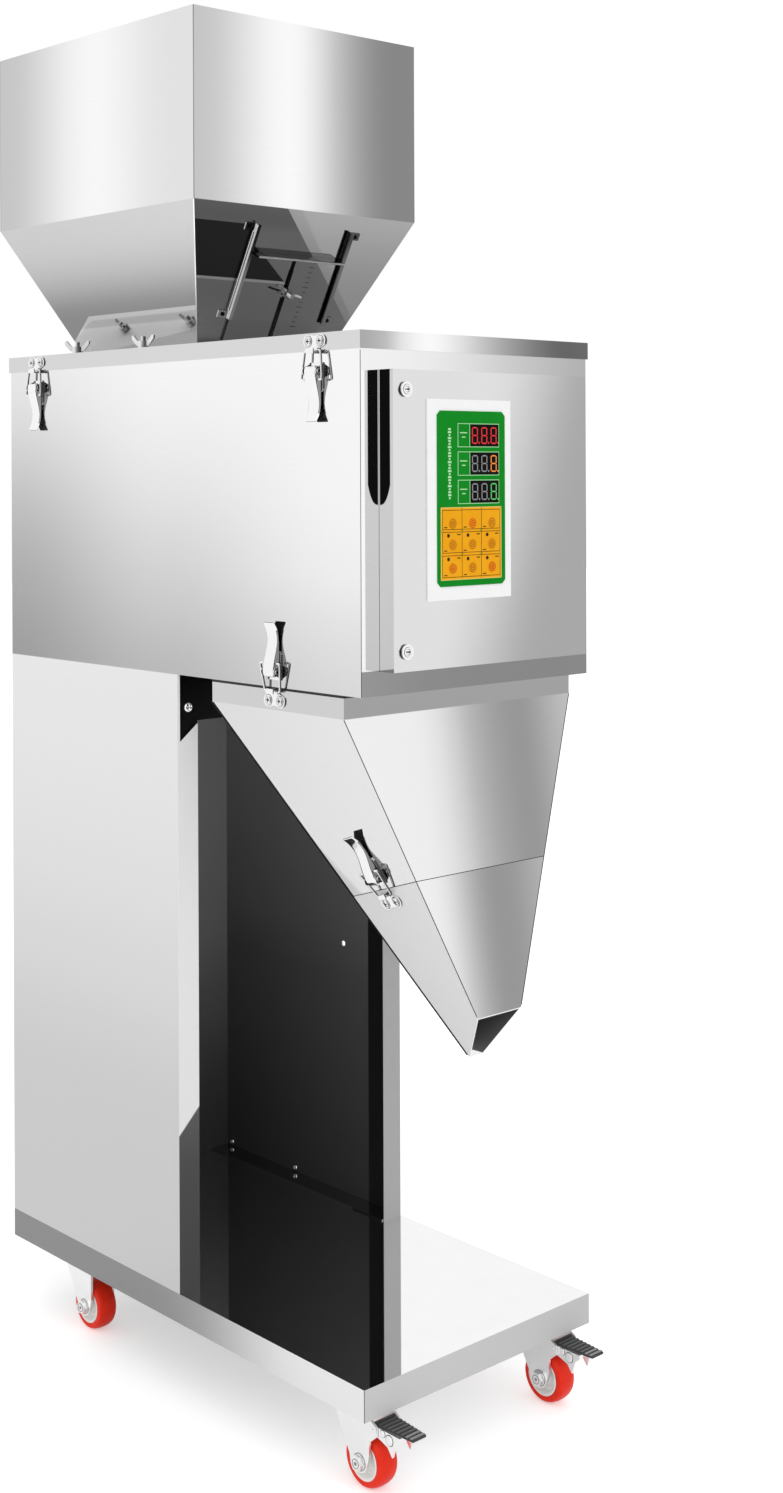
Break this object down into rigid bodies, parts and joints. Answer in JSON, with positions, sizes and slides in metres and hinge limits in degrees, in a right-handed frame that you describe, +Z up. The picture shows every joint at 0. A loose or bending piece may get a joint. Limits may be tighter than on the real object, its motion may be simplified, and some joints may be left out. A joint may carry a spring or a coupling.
{
  "type": "powder filling machine",
  "caption": "Floor-standing weigh-and-fill machine with a square powder hopper, latched lid, keypad door, tapered filling funnel, open column and braked swivel casters.",
  "frame": {"origin": "on the floor, under the middle of the machine's bounding box", "axes": "+Z up, +Y towards the column at the back, +X to the right of someone facing the door"},
  "size_m": [0.3216, 0.648, 1.3865],
  "materials": {
    "stainless_sheet": "bright satin stainless sheet",
    "polished_hopper": "mirror-bright stainless sheet",
    "door_sheet": "satin stainless sheet",
    "bright_fittings": "bright plated steel",
    "zinc_steel": "bright zinc plated steel",
    "dark_bracket": "dark grey paint",
    "red_tyre": "moulded red polyurethane",
    "grey_pedal": "dark grey moulded plastic",
    "white_plate": "white coated plate",
    "green_overlay": "printed keypad film",
    "amber_key": "printed amber key",
    "circuit_board": "coated circuit board",
    "lock_chrome": "plated lock",
    "cell_aluminium": "machined aluminium",
    "drive_paint": "grey painted steel"
  },
  "bodies": {
    "frame": {"base_tray": "stainless_sheet", "caster_mounts": "zinc_steel", "column_shell": "stainless_sheet", "column_bracket": "dark_bracket", "main_box": "stainless_sheet", "box_lid": "stainless_sheet", "hopper_bin": "polished_hopper", "hopper_fittings": "bright_fittings", "funnel_upper": "stainless_sheet", "funnel_nozzle": "stainless_sheet", "latch_fixings": "bright_fittings", "feeder_drive": "drive_paint", "weigh_bucket": "stainless_sheet", "load_cell": "cell_aluminium", "door_hinge": "bright_fittings"},
    "gate_plate": {"gate_plate": "polished_hopper"},
    "gate_wing_nut": {"gate_wing_nut": "bright_fittings"},
    "door": {"door": "door_sheet", "control_bezel": "white_plate", "control_overlay": "green_overlay", "control_board": "circuit_board"},
    "key_1": {"key_1": "amber_key"},
    "key_2": {"key_2": "amber_key"},
    "key_3": {"key_3": "amber_key"},
    "key_4": {"key_4": "amber_key"},
    "key_5": {"key_5": "amber_key"},
    "key_6": {"key_6": "amber_key"},
    "key_7": {"key_7": "amber_key"},
    "key_8": {"key_8": "amber_key"},
    "key_9": {"key_9": "amber_key"},
    "cam_lock_upper": {"cam_lock_upper": "lock_chrome"},
    "cam_lock_lower": {"cam_lock_lower": "lock_chrome"},
    "feeder_tray": {"feeder_tray": "stainless_sheet"},
    "bucket_flap": {"bucket_flap": "stainless_sheet"},
    "latch_lever_lid_front_left": {"latch_lever_lid_front_left": "bright_fittings"},
    "latch_bail_lid_front_left": {"latch_bail_lid_front_left": "bright_fittings"},
    "latch_lever_lid_rear_left": {"latch_lever_lid_rear_left": "bright_fittings"},
    "latch_bail_lid_rear_left": {"latch_bail_lid_rear_left": "bright_fittings"},
    "latch_lever_funnel_left": {"latch_lever_funnel_left": "bright_fittings"},
    "latch_bail_funnel_left": {"latch_bail_funnel_left": "bright_fittings"},
    "latch_lever_nozzle_left": {"latch_lever_nozzle_left": "bright_fittings"},
    "latch_bail_nozzle_left": {"latch_bail_nozzle_left": "bright_fittings"},
    "latch_lever_lid_front_right": {"latch_lever_lid_front_right": "bright_fittings"},
    "latch_bail_lid_front_right": {"latch_bail_lid_front_right": "bright_fittings"},
    "latch_lever_lid_rear_right": {"latch_lever_lid_rear_right": "bright_fittings"},
    "latch_bail_lid_rear_right": {"latch_bail_lid_rear_right": "bright_fittings"},
    "latch_lever_funnel_right": {"latch_lever_funnel_right": "bright_fittings"},
    "latch_bail_funnel_right": {"latch_bail_funnel_right": "bright_fittings"},
    "latch_lever_nozzle_right": {"latch_lever_nozzle_right": "bright_fittings"},
    "latch_bail_nozzle_right": {"latch_bail_nozzle_right": "bright_fittings"},
    "caster_fork_front_left": {"caster_fork_front_left": "zinc_steel"},
    "caster_wheel_front_left": {"caster_wheel_front_left": "red_tyre"},
    "brake_pedal_front_left": {"brake_pedal_front_left": "grey_pedal"},
    "caster_fork_front_right": {"caster_fork_front_right": "zinc_steel"},
    "caster_wheel_front_right": {"caster_wheel_front_right": "red_tyre"},
    "brake_pedal_front_right": {"brake_pedal_front_right": "grey_pedal"},
    "caster_fork_rear_left": {"caster_fork_rear_left": "zinc_steel"},
    "caster_wheel_rear_left": {"caster_wheel_rear_left": "red_tyre"},
    "caster_fork_rear_right": {"caster_fork_rear_right": "zinc_steel"},
    "caster_wheel_rear_right": {"caster_wheel_rear_right": "red_tyre"}
  },
  "joints": [
    {"name": "gate_slide", "type": "slide", "parent": "frame", "child": "gate_plate", "axis": [0, -0.4755, 0.8797], "range_m": [-0.0215, 0.022]},
    {"name": "gate_wing_nut_turn", "type": "hinge", "parent": "frame", "child": "gate_wing_nut", "pos_m": [0, 0.00527, 1.11545], "axis": [0, -0.8797, -0.4755], "range_deg": [0, 330]},
    {"name": "door_swing", "type": "hinge", "parent": "frame", "child": "door", "pos_m": [0.1326, -0.2902, 0.881], "axis": [0, 0, 1], "range_deg": [0, 110]},
    {"name": "key_1_push", "type": "slide", "parent": "door", "child": "key_1", "axis": [0, 1, 0], "range_m": [0, 0.0005], "stiffness_N_per_m": 500},
    {"name": "key_2_push", "type": "slide", "parent": "door", "child": "key_2", "axis": [0, 1, 0], "range_m": [0, 0.0005], "stiffness_N_per_m": 500},
    {"name": "key_3_push", "type": "slide", "parent": "door", "child": "key_3", "axis": [0, 1, 0], "range_m": [0, 0.0005], "stiffness_N_per_m": 500},
    {"name": "key_4_push", "type": "slide", "parent": "door", "child": "key_4", "axis": [0, 1, 0], "range_m": [0, 0.0005], "stiffness_N_per_m": 500},
    {"name": "key_5_push", "type": "slide", "parent": "door", "child": "key_5", "axis": [0, 1, 0], "range_m": [0, 0.0005], "stiffness_N_per_m": 500},
    {"name": "key_6_push", "type": "slide", "parent": "door", "child": "key_6", "axis": [0, 1, 0], "range_m": [0, 0.0005], "stiffness_N_per_m": 500},
    {"name": "key_7_push", "type": "slide", "parent": "door", "child": "key_7", "axis": [0, 1, 0], "range_m": [0, 0.0005], "stiffness_N_per_m": 500},
    {"name": "key_8_push", "type": "slide", "parent": "door", "child": "key_8", "axis": [0, 1, 0], "range_m": [0, 0.0005], "stiffness_N_per_m": 500},
    {"name": "key_9_push", "type": "slide", "parent": "door", "child": "key_9", "axis": [0, 1, 0], "range_m": [0, 0.0005], "stiffness_N_per_m": 500},
    {"name": "cam_lock_upper_turn", "type": "hinge", "parent": "door", "child": "cam_lock_upper", "pos_m": [-0.113, -0.304, 0.999], "axis": [0, 1, 0], "range_deg": [0, 90]},
    {"name": "cam_lock_lower_turn", "type": "hinge", "parent": "door", "child": "cam_lock_lower", "pos_m": [-0.113, -0.304, 0.763], "axis": [0, 1, 0], "range_deg": [-90, 0]},
    {"name": "feeder_tray_shake", "type": "slide", "parent": "frame", "child": "feeder_tray", "axis": [0, 1, 0], "range_m": [-0.0005, 0.0005], "stiffness_N_per_m": 20000},
    {"name": "bucket_flap_swing", "type": "hinge", "parent": "frame", "child": "bucket_flap", "pos_m": [0, -0.115, 0.797], "axis": [1, 0, 0], "range_deg": [0, 80], "stiffness_Nm_per_rad": 0.5, "springref_deg": -20.05},
    {"name": "latch_lever_lid_front_left_swing", "type": "hinge", "parent": "frame", "child": "latch_lever_lid_front_left", "pos_m": [-0.1566, -0.225, 1.017], "axis": [0, 1, 0], "range_deg": [0, 85]},
    {"name": "latch_bail_lid_front_left_swing", "type": "hinge", "parent": "latch_lever_lid_front_left", "child": "latch_bail_lid_front_left", "pos_m": [-0.1562, -0.225, 1.009], "axis": [0, 1, 0], "range_deg": [-70, 0]},
    {"name": "latch_lever_lid_rear_left_swing", "type": "hinge", "parent": "frame", "child": "latch_lever_lid_rear_left", "pos_m": [-0.1566, 0.245, 1.017], "axis": [0, 1, 0], "range_deg": [0, 85]},
    {"name": "latch_bail_lid_rear_left_swing", "type": "hinge", "parent": "latch_lever_lid_rear_left", "child": "latch_bail_lid_rear_left", "pos_m": [-0.1562, 0.245, 1.009], "axis": [0, 1, 0], "range_deg": [-70, 0]},
    {"name": "latch_lever_funnel_left_swing", "type": "hinge", "parent": "frame", "child": "latch_lever_funnel_left", "pos_m": [-0.1566, -0.163, 0.738], "axis": [0, -1, 0], "range_deg": [0, 85]},
    {"name": "latch_bail_funnel_left_swing", "type": "hinge", "parent": "latch_lever_funnel_left", "child": "latch_bail_funnel_left", "pos_m": [-0.1562, -0.163, 0.746], "axis": [0, -1, 0], "range_deg": [-70, 0]},
    {"name": "latch_lever_nozzle_left_swing", "type": "hinge", "parent": "frame", "child": "latch_lever_nozzle_left", "pos_m": [-0.08976, -0.23153, 0.54333], "axis": [-0.128, -0.9455, 0.2993], "range_deg": [0, 85]},
    {"name": "latch_bail_nozzle_left_swing", "type": "hinge", "parent": "latch_lever_nozzle_left", "child": "latch_bail_nozzle_left", "pos_m": [-0.09236, -0.22893, 0.55044], "axis": [-0.128, -0.9455, 0.2993], "range_deg": [-70, 0]},
    {"name": "latch_lever_lid_front_right_swing", "type": "hinge", "parent": "frame", "child": "latch_lever_lid_front_right", "pos_m": [0.1566, -0.225, 1.017], "axis": [0, -1, 0], "range_deg": [0, 85]},
    {"name": "latch_bail_lid_front_right_swing", "type": "hinge", "parent": "latch_lever_lid_front_right", "child": "latch_bail_lid_front_right", "pos_m": [0.1562, -0.225, 1.009], "axis": [0, -1, 0], "range_deg": [-70, 0]},
    {"name": "latch_lever_lid_rear_right_swing", "type": "hinge", "parent": "frame", "child": "latch_lever_lid_rear_right", "pos_m": [0.1566, 0.245, 1.017], "axis": [0, -1, 0], "range_deg": [0, 85]},
    {"name": "latch_bail_lid_rear_right_swing", "type": "hinge", "parent": "latch_lever_lid_rear_right", "child": "latch_bail_lid_rear_right", "pos_m": [0.1562, 0.245, 1.009], "axis": [0, -1, 0], "range_deg": [-70, 0]},
    {"name": "latch_lever_funnel_right_swing", "type": "hinge", "parent": "frame", "child": "latch_lever_funnel_right", "pos_m": [0.1566, -0.163, 0.738], "axis": [0, 1, 0], "range_deg": [0, 85]},
    {"name": "latch_bail_funnel_right_swing", "type": "hinge", "parent": "latch_lever_funnel_right", "child": "latch_bail_funnel_right", "pos_m": [0.1562, -0.163, 0.746], "axis": [0, 1, 0], "range_deg": [-70, 0]},
    {"name": "latch_lever_nozzle_right_swing", "type": "hinge", "parent": "frame", "child": "latch_lever_nozzle_right", "pos_m": [0.08976, -0.23153, 0.54333], "axis": [-0.128, 0.9455, -0.2993], "range_deg": [0, 85]},
    {"name": "latch_bail_nozzle_right_swing", "type": "hinge", "parent": "latch_lever_nozzle_right", "child": "latch_bail_nozzle_right", "pos_m": [0.09236, -0.22893, 0.55044], "axis": [-0.128, 0.9455, -0.2993], "range_deg": [-70, 0]},
    {"name": "caster_swivel_front_left", "type": "hinge", "parent": "frame", "child": "caster_fork_front_left", "pos_m": [-0.119, -0.243, 0.075], "axis": [0, 0, 1], "continuous": true},
    {"name": "caster_roll_front_left", "type": "hinge", "parent": "caster_fork_front_left", "child": "caster_wheel_front_left", "pos_m": [-0.119, -0.26, 0.026], "axis": [1, 0, 0], "continuous": true},
    {"name": "brake_pedal_front_left_press", "type": "hinge", "parent": "caster_fork_front_left", "child": "brake_pedal_front_left", "pos_m": [-0.119, -0.278, 0.061], "axis": [1, 0, 0], "range_deg": [0, 12]},
    {"name": "caster_swivel_front_right", "type": "hinge", "parent": "frame", "child": "caster_fork_front_right", "pos_m": [0.119, -0.243, 0.075], "axis": [0, 0, 1], "continuous": true},
    {"name": "caster_roll_front_right", "type": "hinge", "parent": "caster_fork_front_right", "child": "caster_wheel_front_right", "pos_m": [0.119, -0.26, 0.026], "axis": [1, 0, 0], "continuous": true},
    {"name": "brake_pedal_front_right_press", "type": "hinge", "parent": "caster_fork_front_right", "child": "brake_pedal_front_right", "pos_m": [0.119, -0.278, 0.061], "axis": [1, 0, 0], "range_deg": [0, 12]},
    {"name": "caster_swivel_rear_left", "type": "hinge", "parent": "frame", "child": "caster_fork_rear_left", "pos_m": [-0.119, 0.204, 0.075], "axis": [0, 0, 1], "continuous": true},
    {"name": "caster_roll_rear_left", "type": "hinge", "parent": "caster_fork_rear_left", "child": "caster_wheel_rear_left", "pos_m": [-0.119, 0.187, 0.026], "axis": [1, 0, 0], "continuous": true},
    {"name": "caster_swivel_rear_right", "type": "hinge", "parent": "frame", "child": "caster_fork_rear_right", "pos_m": [0.119, 0.204, 0.075], "axis": [0, 0, 1], "continuous": true},
    {"name": "caster_roll_rear_right", "type": "hinge", "parent": "caster_fork_rear_right", "child": "caster_wheel_rear_right", "pos_m": [0.119, 0.187, 0.026], "axis": [1, 0, 0], "continuous": true}
  ],
  "couplings": [
    {"joint": "latch_bail_lid_front_left_swing", "follows": "latch_lever_lid_front_left_swing", "ratio": -0.8},
    {"joint": "latch_bail_lid_rear_left_swing", "follows": "latch_lever_lid_rear_left_swing", "ratio": -0.8},
    {"joint": "latch_bail_funnel_left_swing", "follows": "latch_lever_funnel_left_swing", "ratio": -0.8},
    {"joint": "latch_bail_nozzle_left_swing", "follows": "latch_lever_nozzle_left_swing", "ratio": -0.8},
    {"joint": "latch_bail_lid_front_right_swing", "follows": "latch_lever_lid_front_right_swing", "ratio": -0.8},
    {"joint": "latch_bail_lid_rear_right_swing", "follows": "latch_lever_lid_rear_right_swing", "ratio": -0.8},
    {"joint": "latch_bail_funnel_right_swing", "follows": "latch_lever_funnel_right_swing", "ratio": -0.8},
    {"joint": "latch_bail_nozzle_right_swing", "follows": "latch_lever_nozzle_right_swing", "ratio": -0.8}
  ]
}
